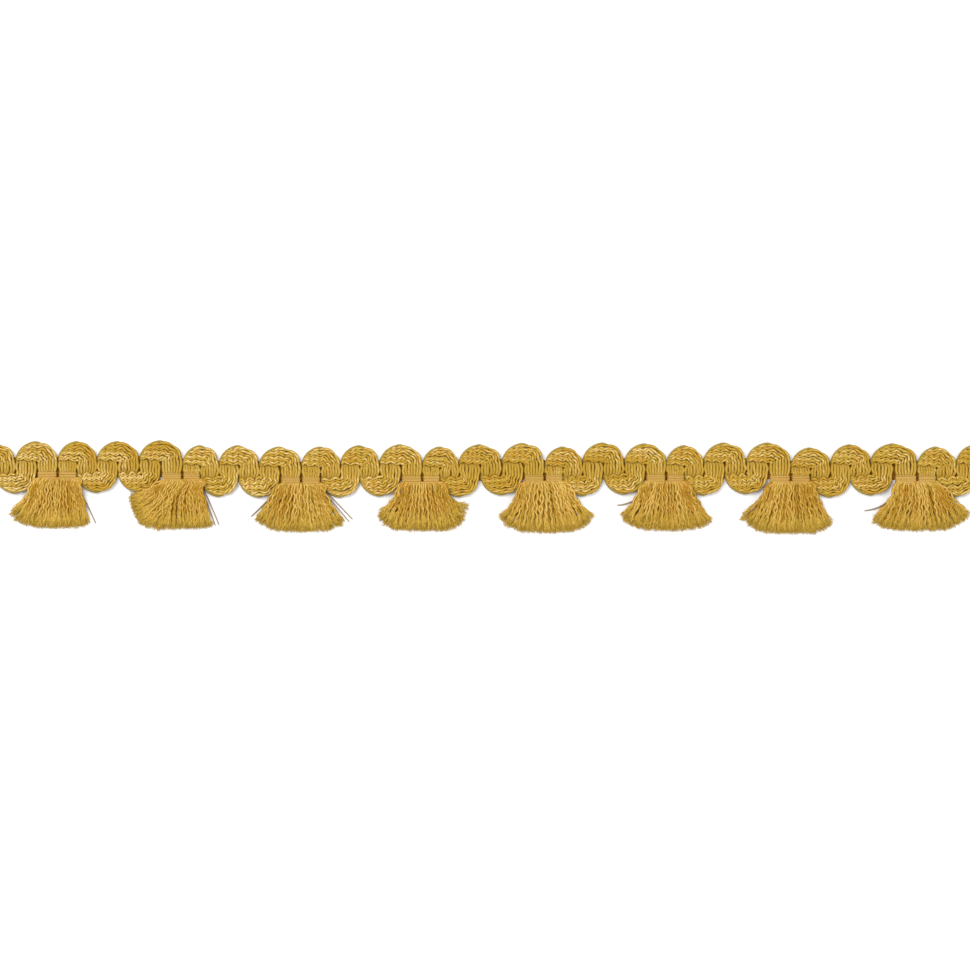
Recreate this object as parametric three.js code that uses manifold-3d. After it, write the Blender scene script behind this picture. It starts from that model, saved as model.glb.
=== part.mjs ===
// A length of cotton tassel fringe on a scroll gimp heading, lying face up on its back.
// Millimetres. X runs along the trim, +Y points from the tassels to the heading, +Z up out of the face.
//
// The heading is a flat plait that winds from side to side in lobes. Three lobes stand along the top
// of each repeat and two hang below. Where the third lower lobe would be, the plait is bound off in
// two columns and its yarns hang free as a brush tassel.

import * as THREE from 'three';
import { mergeVertices } from 'three/addons/utils/BufferGeometryUtils.js';
import Module from 'manifold-3d';

// Heading plait
const HEADING_WIDTH = 11.2; // from the crowns of the upper lobes to the foot of the lower ones
const PLAIT_THICKNESS = 1.7;
const LEG_FILL = 0.95; // how much of the room between two slits a straight leg takes
const CROWN_OUTER = 2.36; // from the plait's middle line to its outer edge at the top of a lobe
const CROWN_INNER = 2.0; // from the same line to the small hole inside the lobe
const INNER_LIMIT = 0.9; // and no more than this share of the turn's radius
const ARC_STEPS = 8;
const LEG_STEPS = 2;
const LEG_SHORTEST = 1.5; // a straight stretch over this length gets the extra steps
const RIDGE = 0.13; // how far the plaited yarns stand proud and sink back
const FACE_FROM = 0.7; // share of the thickness above which a point is on the ridged face
const CREST_WITHIN = 0.3; // share of the half width within which a point is on the plait's middle

// Bound columns above each tassel
const COLUMN_DROP = 8.65; // from the crowns to the lower end of the columns
const COLUMN_NECK = 0.93; // share of the leg's width that the binding draws it in to
const COLUMN_THICKNESS = 1.55;

// Binding threads that hold neighbouring legs side by side
const BINDER_DROP = 7.2;
const BINDER_HALF = 0.55;
const BINDER_UNDERSIDE = 0.3;
const BINDER_THICKNESS = 0.6;

// Tassels
const SEAM_GAP = 0.3;
const ROOT_BAND = 0.8; // width of the narrow strip that holds a tassel's roots
const ROOT_BAND_THICKNESS = 1.75;
const ROOT_SPREAD = 4.0;
const ROOT_PART = 0.45; // half of the parting between a tassel's two columns
const STRANDS_IN_LAYER = 12;
const STRAND_STEPS = 2;
const STRAND_ROOT_HALF = 0.21;
const STRAND_BODY_HALF = 0.32;
const STRAND_TIP_HALF = 0.26;
const STRAND_HEIGHT = 0.46;
const STRAND_BITE = 0.4; // length of a strand that is fused into the root band
const TIP_ROUNDING = 2.6; // how square the tassel's lower edge is from side to side
const TIP_UNEVEN = 0.35; // how far single strands are cut longer or shorter
const UNEVEN_BY_STRAND = 2.4;
const UNEVEN_BY_LAYER = 3;
const BEND_OUT = 0.32; // where a strand's bend lies between its root and its tip, sideways
const BEND_DOWN = 0.55; // and downwards

// The parting above each tassel, the next two notches to its right as distances from it, and the
// heights of the three crowns between them, which wander a little as the trim lies.
const REPEATS = [
  { parting: -94.9, second: 8.7, third: 18.1, crownA: 6.6, crownB: 6.6, crownC: 6.8 },
  { parting: -67.2, second: 8.1, third: 17.0, crownA: 5.7, crownB: 5.7, crownC: 5.4 },
  { parting: -40.8, second: 8.7, third: 17.4, crownA: 5.4, crownB: 5.7, crownC: 5.9 },
  { parting: -13.9, second: 8.1, third: 17.7, crownA: 5.4, crownB: 5.9, crownC: 6.2 },
  { parting: 13.3, second: 8.4, third: 17.7, crownA: 5.4, crownB: 6.3, crownC: 6.1 },
  { parting: 40.3, second: 8.3, third: 17.8, crownA: 5.7, crownB: 6.3, crownC: 6.3 },
  { parting: 68.0, second: 8.8, third: 17.7, crownA: 5.2, crownB: 5.9, crownC: 6.1 },
  { parting: 96.1, second: 8.6, third: 17.8, crownA: 5.4, crownB: 5.9, crownC: 5.9 },
];

// The two lobes at the left-hand cut end, before the first tassel.
const LEAD_IN = { firstNotch: -113.6, secondNotch: -104.3, crownA: 6.3, crownB: 6.6 };

// How far each tassel's fan reaches to the left and right of its parting, how low its two sides and
// its middle hang, and how far the middle of the fan is swept sideways.
const FANS = [
  { left: 10.9, right: 8.2, leftTip: -9.6, rightTip: -10.2, foot: -12.4, sweep: -0.6 },
  { left: 11.4, right: 7.4, leftTip: -7.9, rightTip: -11.4, foot: -12.7, sweep: -1.9 },
  { left: 10.8, right: 10.9, leftTip: -10.0, rightTip: -10.4, foot: -13.6, sweep: 0.2 },
  { left: 10.6, right: 10.4, leftTip: -9.8, rightTip: -8.8, foot: -13.3, sweep: 0.0 },
  { left: 10.2, right: 11.5, leftTip: -9.8, rightTip: -10.4, foot: -13.8, sweep: 0.6 },
  { left: 10.5, right: 10.5, leftTip: -9.6, rightTip: -9.8, foot: -13.1, sweep: 0.0 },
  { left: 11.5, right: 10.2, leftTip: -9.8, rightTip: -10.4, foot: -14.0, sweep: -0.4 },
  { left: 10.8, right: 11.8, leftTip: -9.6, rightTip: -10.4, foot: -13.1, sweep: 0.4 },
];

// Layers of strands in a tassel, from the ones that rest on the surface upwards: the height of the
// layer, how far its strands are shifted between those below, and its share of the full length.
const LAYERS = [
  { base: 0.0, shift: 0.0, reach: 1.0, width: 1.0 },
  { base: 0.58, shift: 0.5, reach: 0.98, width: 0.95 },
  { base: 1.16, shift: 0.0, reach: 0.93, width: 0.86 },
];

// Cross-sections, from one edge to the other: the place across the width and the share of the height.
const PLAIT_SECTION = [
  { across: -1, height: 0 },
  { across: 1, height: 0 },
  { across: 1, height: 0.5 },
  { across: 0.6, height: 0.92 },
  { across: 0, height: 1 },
  { across: -0.6, height: 0.92 },
  { across: -1, height: 0.5 },
];
const STRAND_SECTION = [
  { across: -1, height: 0 },
  { across: 1, height: 0 },
  { across: 0, height: 1 },
];
const BINDER_SECTION = [
  { across: -1, height: 0 },
  { across: 1, height: 0 },
  { across: 1, height: 1 },
  { across: -1, height: 1 },
];

const wasm = await Module();
wasm.setup();

const gimpMaterial = new THREE.MeshStandardMaterial({ color: 0xc0933a, roughness: 0.85, metalness: 0 });
const tasselMaterial = new THREE.MeshStandardMaterial({ color: 0xcfa24a, roughness: 0.88, metalness: 0 });

/** Sweeps a section through stations, each with a place, a heading and its own widths and height. */
function sweep(section, stations) {
  const outline = new THREE.Shape(section.map((p) => new THREE.Vector2(p.across, p.height)));
  const steps = stations.length - 1;
  const geometry = new THREE.ExtrudeGeometry(outline, { depth: steps, steps, bevelEnabled: false });
  const points = geometry.getAttribute('position');
  for (let i = 0; i < points.count; i += 1) {
    const across = points.getX(i);
    const lift = points.getY(i);
    const at = stations[Math.round(points.getZ(i))];
    const side = across * (across > 0 ? at.leftHalf : at.rightHalf);
    const onFace = lift > FACE_FROM;
    const ripple = onFace ? at.ridge * (Math.abs(across) < CREST_WITHIN ? 1 : -1) : 0;
    const x = at.x - Math.sin(at.turn) * side;
    const y = at.y + Math.cos(at.turn) * side;
    points.setXYZ(i, x, y, at.z + lift * at.height + ripple);
  }
  return geometry;
}

/** A manifold solid of a closed geometry. */
function solidOf(geometry) {
  geometry.deleteAttribute('normal');
  geometry.deleteAttribute('uv');
  const merged = mergeVertices(geometry, 1e-5);
  const vertProperties = new Float32Array(merged.getAttribute('position').array);
  const triVerts = new Uint32Array(merged.getIndex().array);
  return new wasm.Manifold(new wasm.Mesh({ numProp: 3, vertProperties, triVerts }));
}

/** All the geometries joined into one solid and turned back into a geometry. */
function joined(geometries) {
  let body = solidOf(geometries[0]);
  for (const geometry of geometries.slice(1)) {
    body = body.add(solidOf(geometry));
  }
  const mesh = body.getMesh();
  const geometry = new THREE.BufferGeometry();
  geometry.setAttribute('position', new THREE.BufferAttribute(new Float32Array(mesh.vertProperties), 3));
  geometry.setIndex(new THREE.BufferAttribute(new Uint32Array(mesh.triVerts), 1));
  geometry.computeVertexNormals();
  return geometry;
}

/** The upper lobes from left to right, each between two notches, with the tassel parting noted. */
function upperLobes() {
  const notches = [
    { x: LEAD_IN.firstNotch, crown: LEAD_IN.crownA, parting: false },
    { x: LEAD_IN.secondNotch, crown: LEAD_IN.crownB, parting: false },
  ];
  for (const row of REPEATS) {
    notches.push({ x: row.parting, crown: row.crownA, parting: true });
    notches.push({ x: row.parting + row.second, crown: row.crownB, parting: false });
    notches.push({ x: row.parting + row.third, crown: row.crownC, parting: false });
  }
  return notches.slice(0, -1).map((notch, i) => {
    const width = notches[i + 1].x - notch.x;
    return {
      crown: notch.crown,
      afterParting: notch.parting,
      beforeParting: notches[i + 1].parting,
      radius: width / 4,
      leftLeg: notch.x + width / 4,
      rightLeg: notch.x + (width * 3) / 4,
    };
  });
}

/** Stations of half a turn, anticlockwise or clockwise, around a lobe's centre. */
function halfTurn(centreX, centreY, radius, upper) {
  const stations = [];
  for (let i = 0; i <= ARC_STEPS; i += 1) {
    const share = i / ARC_STEPS;
    const bulge = Math.sin(share * Math.PI);
    const angle = upper ? Math.PI * (1 - share) : Math.PI * (1 + share);
    const legHalf = radius * LEG_FILL;
    const outer = THREE.MathUtils.lerp(legHalf, CROWN_OUTER, bulge);
    const inner = THREE.MathUtils.lerp(legHalf, Math.min(CROWN_INNER, radius * INNER_LIMIT), bulge);
    stations.push({
      x: centreX + radius * Math.cos(angle),
      y: centreY + radius * Math.sin(angle),
      turn: upper ? angle - Math.PI / 2 : angle + Math.PI / 2,
      leftHalf: upper ? outer : inner,
      rightHalf: upper ? inner : outer,
      height: PLAIT_THICKNESS,
    });
  }
  return stations;
}

/** Stations down or up one bound column, from the leg's height to the column's lower end. */
function column(x, topY, endY, half, down) {
  const middle = { y: (topY + endY) / 2, half: half * COLUMN_NECK, height: COLUMN_THICKNESS };
  const end = { y: endY, half: half * COLUMN_NECK, height: COLUMN_THICKNESS };
  const rows = down ? [middle, end] : [end, middle];
  return rows.map((row) => ({
    x,
    y: row.y,
    turn: down ? -Math.PI / 2 : Math.PI / 2,
    leftHalf: row.half,
    rightHalf: row.half,
    height: row.height,
  }));
}

/** The height of a lobe's own leg ends, where its upper turn and its lower turn begin. */
function legEnds(lobe) {
  const upperEnd = lobe.crown - CROWN_OUTER - lobe.radius;
  const lowerEnd = lobe.crown - HEADING_WIDTH + CROWN_OUTER + lobe.radius;
  return { upperEnd, lowerEnd };
}

/** The stretches of plait between tassels, each a list of stations. */
function plaitStretches(lobes) {
  const stretches = [];
  let stations = [];
  lobes.forEach((lobe, i) => {
    const next = lobes[i + 1];
    const { upperEnd, lowerEnd } = legEnds(lobe);
    const half = lobe.radius * LEG_FILL;
    if (i === 0 || lobe.afterParting) {
      const endY = columnEnd(lobes[i - 1] ?? lobe, lobe);
      stations.push(...column(lobe.leftLeg, lowerEnd, endY, half, false));
    }
    stations.push(...halfTurn((lobe.leftLeg + lobe.rightLeg) / 2, upperEnd, lobe.radius, true));
    if (!next || lobe.beforeParting) {
      const endY = columnEnd(lobe, next ?? lobe);
      stations.push(...column(lobe.rightLeg, lowerEnd, endY, half, true));
      stretches.push(stations);
      stations = [];
      return;
    }
    const radius = (next.leftLeg - lobe.rightLeg) / 2;
    const footY = (lobe.crown + next.crown) / 2 - HEADING_WIDTH;
    stations.push(...halfTurn(lobe.rightLeg + radius, footY + CROWN_OUTER + radius, radius, false));
  });
  return stretches.map((stretch) => withRidges(stretch));
}

/** Where the columns of a tassel end, between the lobes to its left and right. */
function columnEnd(before, after) {
  return (before.crown + after.crown) / 2 - COLUMN_DROP;
}

/** Extra stations along the longer straight legs, and the plait's ridges on every station. */
function withRidges(stations) {
  const all = [];
  stations.forEach((at, i) => {
    const previous = stations[i - 1];
    const straight = previous && Math.hypot(at.x - previous.x, at.y - previous.y) > LEG_SHORTEST;
    if (straight) {
      for (let k = 1; k < LEG_STEPS; k += 1) {
        const share = k / LEG_STEPS;
        all.push({
          ...at,
          x: THREE.MathUtils.lerp(previous.x, at.x, share),
          y: THREE.MathUtils.lerp(previous.y, at.y, share),
        });
      }
    }
    all.push(at);
  });
  return all.map((at, i) => ({ ...at, z: 0, ridge: i % 2 === 0 ? RIDGE : -RIDGE }));
}

/** A short bar of binding threads across the slit between two legs. */
function binder(fromX, toX, y) {
  const ends = [fromX, toX];
  return sweep(
    BINDER_SECTION,
    ends.map((x) => ({
      x,
      y,
      z: BINDER_UNDERSIDE,
      turn: 0,
      leftHalf: BINDER_HALF,
      rightHalf: BINDER_HALF,
      height: BINDER_THICKNESS,
      ridge: 0,
    })),
  );
}

/** The bars across every slit between neighbouring legs along the trim. */
function binders(lobes) {
  const bars = [];
  lobes.forEach((lobe, i) => {
    const next = lobes[i + 1];
    const y = lobe.crown - BINDER_DROP;
    bars.push(binder(lobe.leftLeg, lobe.rightLeg, y));
    if (next) {
      bars.push(binder(lobe.rightLeg, next.leftLeg, (y + next.crown - BINDER_DROP) / 2));
    }
  });
  return bars;
}

/** One free strand, from its root in the band down and outwards to its tip. */
function strand(root, tip, layer, uneven) {
  const bend = {
    x: THREE.MathUtils.lerp(root.x, tip.x, BEND_OUT),
    y: THREE.MathUtils.lerp(root.y, tip.y, BEND_DOWN),
  };
  const start = new THREE.Vector2(root.x, root.y);
  const end = new THREE.Vector2(tip.x, tip.y + uneven);
  const curve = new THREE.QuadraticBezierCurve(start, new THREE.Vector2(bend.x, bend.y), end);
  const stations = [];
  for (let i = 0; i <= STRAND_STEPS; i += 1) {
    const share = i / STRAND_STEPS;
    const at = curve.getPoint(share);
    const heading = curve.getTangent(share);
    const swell = Math.min(1, share * 2);
    const body = THREE.MathUtils.lerp(STRAND_ROOT_HALF, STRAND_BODY_HALF, swell);
    const half = i === STRAND_STEPS ? STRAND_TIP_HALF : body;
    stations.push({
      x: at.x,
      y: at.y,
      z: layer.base,
      turn: Math.atan2(heading.y, heading.x),
      leftHalf: half,
      rightHalf: half,
      height: STRAND_HEIGHT,
      ridge: 0,
    });
  }
  return sweep(STRAND_SECTION, stations);
}

/** Where the strand at one place across the tassel starts and ends. */
function strandEnds(row, fan, bandY, across, layer) {
  const side = Math.sign(across);
  const share = Math.abs(across);
  const rootX = row.parting + side * THREE.MathUtils.lerp(ROOT_PART, ROOT_SPREAD, share);
  const reach = side < 0 ? fan.left : fan.right;
  const sideY = side < 0 ? fan.leftTip : fan.rightTip;
  const round = share ** TIP_ROUNDING;
  const tipX = row.parting + side * reach * share * layer.width + fan.sweep * (1 - share);
  const fullY = THREE.MathUtils.lerp(fan.foot, sideY, round);
  const tipY = THREE.MathUtils.lerp(bandY, fullY, layer.reach);
  return { root: { x: rootX, y: bandY + STRAND_BITE / 2 }, tip: { x: tipX, y: tipY } };
}

/** A tassel: the narrow band that its yarns come out of, and the strands, in three layers. */
function tassel(row, fan, before, after) {
  const top = columnEnd(before, after) - SEAM_GAP;
  const bandY = top - ROOT_BAND;
  const bandHalf = ROOT_SPREAD + STRAND_BODY_HALF;
  const band = sweep(
    PLAIT_SECTION,
    [row.parting - bandHalf, row.parting + bandHalf].map((x) => ({
      x,
      y: top - ROOT_BAND / 2,
      z: 0,
      turn: 0,
      leftHalf: ROOT_BAND / 2,
      rightHalf: ROOT_BAND / 2,
      height: ROOT_BAND_THICKNESS,
      ridge: 0,
    })),
  );
  const strands = [];
  for (const layer of LAYERS) {
    for (let i = 0; i < STRANDS_IN_LAYER; i += 1) {
      const place = (i + layer.shift / 2) / (STRANDS_IN_LAYER - 1);
      const across = THREE.MathUtils.clamp(place * 2 - 1, -1, 1);
      const { root, tip } = strandEnds(row, fan, bandY, across, layer);
      const turn = i * UNEVEN_BY_STRAND + layer.base * UNEVEN_BY_LAYER + row.parting;
      strands.push(strand(root, tip, layer, TIP_UNEVEN * Math.sin(turn)));
    }
  }
  return joined([band, ...strands]);
}

const lobes = upperLobes();
const trim = new THREE.Group();

const heading = new THREE.Mesh(
  joined([...plaitStretches(lobes).map((stations) => sweep(PLAIT_SECTION, stations)), ...binders(lobes)]),
  gimpMaterial,
);
heading.name = 'gimp_heading';
trim.add(heading);

REPEATS.forEach((row, i) => {
  const after = lobes.findIndex((lobe) => lobe.leftLeg > row.parting);
  const mesh = new THREE.Mesh(tassel(row, FANS[i], lobes[after - 1], lobes[after]), tasselMaterial);
  mesh.name = `tassel_${i + 1}`;
  trim.add(mesh);
});

// The origin is at the middle of the trim's box, on the surface that it lies on.
const box = new THREE.Box3().setFromObject(trim);
const middle = box.getCenter(new THREE.Vector3());
trim.position.set(-middle.x, -middle.y, -box.min.z);

const fringe = new THREE.Group();
fringe.add(trim);

export default fringe;
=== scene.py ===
import logging
import math
from dataclasses import dataclass, field
from enum import Enum
from typing import Any, Iterator, Sequence, Union

import bmesh
import bpy
import numpy as np
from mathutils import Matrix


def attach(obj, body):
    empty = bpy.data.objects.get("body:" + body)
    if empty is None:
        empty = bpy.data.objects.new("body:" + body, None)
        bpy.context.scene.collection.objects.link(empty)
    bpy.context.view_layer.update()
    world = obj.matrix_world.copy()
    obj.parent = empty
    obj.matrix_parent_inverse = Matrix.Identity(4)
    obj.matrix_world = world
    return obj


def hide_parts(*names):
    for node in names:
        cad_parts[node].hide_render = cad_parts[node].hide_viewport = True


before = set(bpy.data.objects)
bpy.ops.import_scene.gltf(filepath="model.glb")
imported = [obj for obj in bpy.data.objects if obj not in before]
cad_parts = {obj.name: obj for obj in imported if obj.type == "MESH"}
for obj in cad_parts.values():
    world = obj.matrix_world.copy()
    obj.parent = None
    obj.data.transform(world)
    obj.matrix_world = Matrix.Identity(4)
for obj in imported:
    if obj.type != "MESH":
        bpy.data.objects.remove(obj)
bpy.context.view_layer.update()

LOG = logging.getLogger("tassel_fringe")

MM = 0.001
TURN = 2 * math.pi
PHASE = 6.28  # the most that a strand's ripple is shifted
TWIST = 9.0  # mm, the most that a yarn's twist is shifted
UV_PER_MM = 0.1
PLAN_TO_FRAME = (-0.1506, 3.7812)  # mm from the trim's plan to the row frame
BODY = "root"
UP = np.array([0.0, 0.0, 1.0])

Colour = tuple[float, float, float]
Pair = tuple[float, float]


class Slot(Enum):
    """The record's material slots; the pieces are handed one but take their finish from their own material.
    """

    GIMP = "gimp_cotton"
    TASSEL = "tassel_cotton"


class Side(Enum):
    """The two columns that stand either side of a tassel's parting."""

    LEFT = -1
    RIGHT = 1


Operand = Union["Sock", float, int]


class Sock:
    """Wraps a shader socket so that arithmetic on it adds Math nodes."""

    def __init__(self, sheet: "NodeSheet", socket: Any) -> None:
        """Keep the sheet and the socket.

        Args:
            sheet: The node sheet that new nodes go on.
            socket: The output socket that this value comes from.
        """
        self.sheet = sheet
        self.socket = socket

    def _math(self, operation: str, *values: Operand) -> "Sock":
        """Add one Math node.

        Args:
            operation: The Math node's operation.
            values: What goes into it, in order.

        Returns:
            The node's result.
        """
        return self.sheet.node("ShaderNodeMath", {"operation": operation}, dict(enumerate(values)))

    def __add__(self, other: Operand) -> "Sock":
        """Add a value."""
        return self._math("ADD", self, other)

    def __radd__(self, other: Operand) -> "Sock":
        """Be added to a number."""
        return self._math("ADD", other, self)

    def __sub__(self, other: Operand) -> "Sock":
        """Subtract a value."""
        return self._math("SUBTRACT", self, other)

    def __rsub__(self, other: Operand) -> "Sock":
        """Be subtracted from a number."""
        return self._math("SUBTRACT", other, self)

    def __mul__(self, other: Operand) -> "Sock":
        """Multiply by a value."""
        return self._math("MULTIPLY", self, other)

    def __rmul__(self, other: Operand) -> "Sock":
        """Be multiplied by a number."""
        return self._math("MULTIPLY", other, self)

    def wave(self) -> "Sock":
        """The sine of the value, brought between 0 and 1."""
        return self._math("SINE", self) * 0.5 + 0.5

    def clamped(self) -> "Sock":
        """The value held between 0 and 1."""
        return self._math("MINIMUM", self._math("MAXIMUM", self, 0.0), 1.0)


class NodeSheet:
    """The node tree of one material."""

    OBJECT_PLACE = 3
    ATTRIBUTE_VALUE = 2
    MIX_FACTOR, MIX_FIRST, MIX_SECOND, MIX_RESULT = 0, 6, 7, 2

    def __init__(self, name: str) -> None:
        """Make an empty material.

        Args:
            name: The material's name.
        """
        self.material = bpy.data.materials.new(name)
        self.material.use_nodes = True
        self.tree = self.material.node_tree
        self.tree.nodes.clear()

    def node(self, kind: str, settings: dict[str, Any], inputs: dict[Any, Any], output: int = 0) -> Sock:
        """Add a node, set it up and link it.

        Args:
            kind: The node's type.
            settings: Its properties, set before its sockets.
            inputs: Values or links by socket name or number.
            output: The number of the output to return.

        Returns:
            The chosen output.
        """
        made = self.tree.nodes.new(kind)
        for key, value in settings.items():
            setattr(made, key, value)
        for key, value in inputs.items():
            if isinstance(value, Sock):
                self.tree.links.new(value.socket, made.inputs[key])
            else:
                made.inputs[key].default_value = value
        return Sock(self, made.outputs[output])

    def finished(self, shader: Sock) -> Any:
        """Send a shader to the material's output and give the material."""
        out = self.tree.nodes.new("ShaderNodeOutputMaterial")
        self.tree.links.new(shader.socket, out.inputs["Surface"])
        return self.material

    def mix(self, factor: Operand, first: Any, second: Any) -> Sock:
        """Mix two colours.

        Args:
            factor: How much of the second colour shows.
            first: The first colour.
            second: The second colour.

        Returns:
            The mixed colour.
        """
        settings = {"data_type": "RGBA", "blend_type": "MIX"}
        inputs = {self.MIX_FACTOR: factor, self.MIX_FIRST: first, self.MIX_SECOND: second}
        return self.node("ShaderNodeMix", settings, inputs, self.MIX_RESULT)

    def noise(self, place: Sock, scale: float, detail: float, roughness: float) -> Sock:
        """Add a cloudy pattern.

        Args:
            place: The place that it is read at.
            scale: How fine it is.
            detail: How many finer layers it has.
            roughness: How strong those are.

        Returns:
            Its value.
        """
        inputs = {"Vector": place, "Scale": scale, "Detail": detail, "Roughness": roughness}
        return self.node("ShaderNodeTexNoise", {"noise_dimensions": "3D"}, inputs)

    def attribute(self, name: str) -> Sock:
        """Read a number that the mesh carries."""
        return self.node("ShaderNodeAttribute", {"attribute_name": name}, {}, self.ATTRIBUTE_VALUE)


@dataclass(frozen=True)
class CottonFinish:
    """A soft cotton yarn: twisted plies, fibres, warmer patches, darker grooves and paler cut ends; the
    darker grooves and each yarn's darker sides and lighter top are painted shade and painted light.
    """

    name: str
    light: Colour
    warm: Colour
    deep: Colour
    # The colour of the painted highlights.
    pale: Colour
    cut: Colour
    plies: int = 3
    ply_pitch_mm: float = 1.3
    fibre: Colour = (5200.0, 2.0, 0.6)  # scale, detail and roughness of each noise
    patch: Colour = (90.0, 2.0, 0.5)
    hue: Colour = (420.0, 1.0, 0.5)
    # Paints the grooves between plies darker, as painted shade.
    ply_groove_shade: float = 0.2
    fibre_light: float = 0.35
    tint_light: float = 0.3
    patch_light: float = 0.25
    # Paints each yarn's top lighter and its sides darker, as painted light and shade.
    crest_painted_light: float = 0.85
    dimmed: float = 0.76
    hue_range: Pair = (3.0, 1.0)
    # Where the painted highlight starts and how fast it grows.
    highlight_range: Pair = (2.4, 1.5)
    relief: Pair = (0.7, 0.5)
    ply_bump: float = 0.55
    bump_depth: float = 0.0001
    roughness: float = 0.86
    specular: float = 0.05
    sheen: float = 0.08
    sheen_roughness: float = 0.5

    def material(self) -> Any:
        """Build the material.

        Returns:
            The Blender material.
        """
        sheet = NodeSheet(self.name)
        uv = sheet.node("ShaderNodeUVMap", {"uv_map": "yarn"}, {})
        along = sheet.node("ShaderNodeSeparateXYZ", {}, {0: uv})
        around = Sock(sheet, along.socket.node.outputs[1])
        turns = along * (TURN / UV_PER_MM / self.ply_pitch_mm) + around * (TURN * self.plies)
        ply = turns.wave()
        place = sheet.node("ShaderNodeTexCoord", {}, {}, sheet.OBJECT_PLACE)
        fibre = sheet.noise(place, *self.fibre)
        # Painted shade: the ply twist darkens the grooves between plies; fibre, tint and patch are the
        # yarn's own tone.
        tone_and_painted_light = ply * self.ply_groove_shade + fibre * self.fibre_light
        tone_and_painted_light = tone_and_painted_light + sheet.attribute("tint") * self.tint_light
        tone_and_painted_light = tone_and_painted_light + sheet.noise(place, *self.patch) * self.patch_light
        # Painted light and shade: each yarn's top is painted lighter and its sides darker.
        tone_and_painted_light = tone_and_painted_light + (around * TURN).wave() * self.crest_painted_light - self.dimmed
        warmth = (sheet.noise(place, *self.hue) * self.hue_range[0] - self.hue_range[1]).clamped()
        upper = sheet.mix(warmth, (*self.light, 1.0), (*self.warm, 1.0))
        # The deep colour takes the painted shade as well as the darkest tone.
        body = sheet.mix(tone_and_painted_light.clamped(), (*self.deep, 1.0), upper)
        # Painted highlight: the pale colour goes where the tone and the painted light are highest.
        pale_tone_and_highlight = (tone_and_painted_light * self.highlight_range[0] - self.highlight_range[1]).clamped()
        yarn = sheet.mix(pale_tone_and_highlight, body, (*self.pale, 1.0))
        colour = sheet.mix(sheet.attribute("tip").clamped(), yarn, (*self.cut, 1.0))
        height = ply * self.relief[0] + fibre * self.relief[1]
        raised = {"Strength": self.ply_bump, "Distance": self.bump_depth, "Height": height}
        bump = sheet.node("ShaderNodeBump", {}, raised)
        shader = sheet.node(
            "ShaderNodeBsdfPrincipled",
            {},
            {
                "Base Color": colour,
                "Roughness": self.roughness,
                "Specular IOR Level": self.specular,
                "Sheen Weight": self.sheen,
                "Sheen Roughness": self.sheen_roughness,
                "Sheen Tint": (*self.light, 1.0),
                "Normal": bump,
            },
        )
        return sheet.finished(shader)


@dataclass
class Yarn:
    """One yarn or fibre: its centreline in millimetres and its half widths along the way."""

    path: np.ndarray
    wide: np.ndarray
    deep: np.ndarray
    tint: float
    tip: np.ndarray
    start: float


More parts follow.
